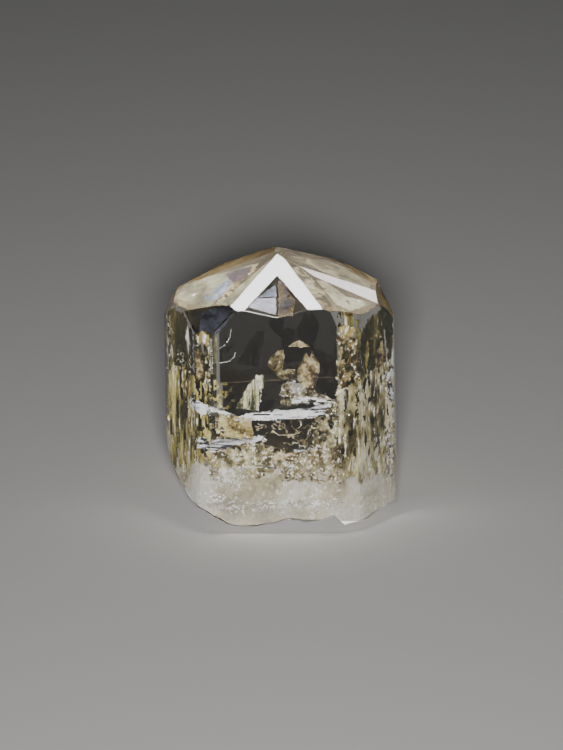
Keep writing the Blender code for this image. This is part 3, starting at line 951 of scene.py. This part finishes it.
ragged_sheet(
    "kite_right_film", KITE_RIGHT,
    outline=[(0.6, 16.9), (1.2, 16.95), (2.04, 16.3), (2.7, 15.76), (3.3, 15.0), (2.7, 14.95)],
    depth=0.1, material=speckled_film, rag=0.05, holes=-0.5, crumple=0.03, seed=76.0,
)
ragged_sheet(
    "right_crown_film", RIGHT_CROWN,
    outline=[
        (2.3, 16.2), (2.83, 16.1), (4.2, 15.2), (6.0, 14.6), (5.3, 14.55), (4.5, 14.55), (3.6, 15.0),
    ],
    depth=0.12, material=satin_film, rag=0.05, holes=-0.6, crumple=0.03, seed=77.0,
)
ragged_sheet(
    "right_high_film", RIGHT_HIGH,
    outline=[
        (-0.5, 17.3), (0.85, 16.9), (1.8, 16.35), (1.85, 15.76), (0.8, 15.2), (-0.9, 15.0),
        (-1.0, 15.6), (-0.95, 16.3), (-1.0, 16.9),
    ],
    depth=0.1, material=speckled_film, rag=0.08, holes=-0.45, hole_size=(0.4, 0.4), crumple=0.03,
    seed=78.0,
)
brown_gold = film_material(
    "brown_gold", dark=(0.004, 0.002, 0.0005), middle=(0.05, 0.024, 0.004), light=(0.24, 0.17, 0.05),
    scale=700.0, stretch=(1.0, 1.0, 0.35), painted_glint_level=0.7,
)
ragged_sheet(
    "notch_stain", NOTCH_RIGHT,
    outline=[(-0.16, 16.3), (-0.05, 16.4), (0.55, 15.7), (1.0, 15.2), (0.75, 14.6), (-0.18, 14.5)],
    depth=0.3, material=brown_gold, rag=0.12, holes=-0.5, hole_size=(0.3, 0.5), crumple=0.1, seed=79.0,
)
lavender_film = film_material(
    "lavender_film", dark=(0.36, 0.36, 0.41), middle=(0.44, 0.44, 0.5), light=(0.54, 0.54, 0.6),
    scale=900.0, painted_glint_level=0.9,
)
ragged_sheet(
    "notch_pale_patch", NOTCH_LEFT,
    outline=[(-1.55, 15.42), (-0.3, 15.36), (-0.3, 14.5), (-2.1, 14.98)],
    depth=0.15, material=lavender_film, rag=0.04, holes=-0.9, crumple=0.03, seed=80.0,
)
blue_grey_film = film_material(
    "blue_grey_film", dark=(0.1, 0.11, 0.14), middle=(0.18, 0.2, 0.25), light=(0.34, 0.36, 0.42),
    scale=900.0, painted_glint_level=0.9,
)
ragged_sheet(
    "notch_blue_patch", NOTCH_LEFT,
    outline=[(-0.3, 16.1), (-0.3, 15.45), (-1.4, 15.5)],
    depth=0.15, material=blue_grey_film, rag=0.04, holes=-0.9, crumple=0.03, seed=81.0,
)

# The floor: a pale matte table top, painted and without any shine. It lies a hair below the stone's foot,
# so that the two surfaces don't meet.
FLOOR_SIZE = 3.0
FLOOR_DROP = 0.03 * MM
bpy.ops.mesh.primitive_plane_add(size=FLOOR_SIZE, location=(0.0, 0.0, -FLOOR_DROP))
floor = bpy.context.object
floor.name = "floor"
floor_material = new_material("pale_table")[0]
set_inputs(floor_material.node_tree.nodes["Principled BSDF"], {
    "Base Color": (0.72, 0.71, 0.69, 1.0), "Roughness": 1.0, "Specular IOR Level": 0.0,
})
floor.data.materials.append(floor_material)

# The lights and the camera: soft boxes overhead, behind, in front and to the left light the stone alone.
# A low lamp in front lights the table alone, so that the stone's shadow falls behind it. The room is dim.
TARGET = Vector((0.05, 0.0, 9.2)) * MM
TABLE_TARGET = Vector((0.0, -75.0, 0.0)) * MM
ROOM_COLOUR = (0.5, 0.52, 0.56, 1.0)
ROOM_STRENGTH = 0.02
CAMERA_DISTANCE = 0.50
CAMERA_SENSOR = 36.0
PICTURE_HEIGHT = 49.0 * MM


def soft_box(name, elevation, azimuth, distance, width, height, radiance, spread=180.0,
             colour=(1.0, 1.0, 1.0)):
    """A soft box seen from the crystal at an elevation and an azimuth, counted from behind to the right."""
    data = bpy.data.lights.new(name, "AREA")
    data.shape = "RECTANGLE"
    data.size = width
    data.size_y = height
    data.energy = radiance * math.pi * width * height
    data.color = colour
    data.spread = math.radians(spread)
    lamp = bpy.data.objects.new(name, data)
    bpy.context.scene.collection.objects.link(lamp)
    up = math.radians(elevation)
    turn = math.radians(azimuth)
    away = Vector((math.sin(turn) * math.cos(up), math.cos(turn) * math.cos(up), math.sin(up)))
    lamp.location = TARGET + away * distance
    lamp.rotation_euler = away.to_track_quat("Z", "Y").to_euler()
    return lamp


stone_light = bpy.data.collections.new("stone_only_light")
bpy.context.scene.collection.children.link(stone_light)
for each in bpy.context.scene.collection.objects:
    if each.type == "MESH" and each != floor:
        stone_light.objects.link(each)
stone_boxes = [
    soft_box("overhead_box", elevation=82.0, azimuth=0.0, distance=0.42, width=0.10, height=0.15,
             radiance=33.0, colour=(0.96, 0.95, 1.0)),
    soft_box("back_high_box", elevation=46.0, azimuth=0.0, distance=0.45, width=0.62, height=0.20,
             radiance=1.1, colour=(1.0, 0.98, 0.93)),
    soft_box("back_low_box", elevation=26.0, azimuth=22.0, distance=0.45, width=0.10, height=0.07,
             radiance=7.0, colour=(0.96, 0.96, 1.0)),
    soft_box("front_fill_box", elevation=58.0, azimuth=175.0, distance=0.50, width=0.30, height=0.20,
             radiance=72.0),
    soft_box("left_fill_box", elevation=50.0, azimuth=-125.0, distance=0.50, width=0.30, height=0.24,
             radiance=12.0),
]
for lamp in stone_boxes:
    lamp.light_linking.receiver_collection = stone_light
table_light = soft_box(
    "table_light", elevation=13.0, azimuth=180.0, distance=0.55, width=0.05, height=0.03, radiance=28.0,
    spread=30.0,
)
table_light.rotation_euler = (table_light.location - TABLE_TARGET).to_track_quat("Z", "Y").to_euler()
table_only = bpy.data.collections.new("table_only_light")
bpy.context.scene.collection.children.link(table_only)
table_only.objects.link(floor)
table_light.light_linking.receiver_collection = table_only

world = bpy.data.worlds.new("dim_room")
bpy.context.scene.world = world
world.use_nodes = True
set_inputs(world.node_tree.nodes["Background"], {"Color": ROOM_COLOUR, "Strength": ROOM_STRENGTH})

camera_data = bpy.data.cameras.new("camera")
camera_data.sensor_fit = "VERTICAL"
camera_data.sensor_height = CAMERA_SENSOR
camera_data.lens = CAMERA_SENSOR * CAMERA_DISTANCE / PICTURE_HEIGHT
camera_data.clip_start = 0.01
camera = bpy.data.objects.new("camera", camera_data)
bpy.context.scene.collection.objects.link(camera)
back_and_up = Vector((0.0, -math.cos(VIEW_ELEVATION), math.sin(VIEW_ELEVATION)))
camera.location = TARGET + back_and_up * CAMERA_DISTANCE
camera.rotation_euler = (TARGET - camera.location).to_track_quat("-Z", "Y").to_euler()
bpy.context.scene.camera = camera
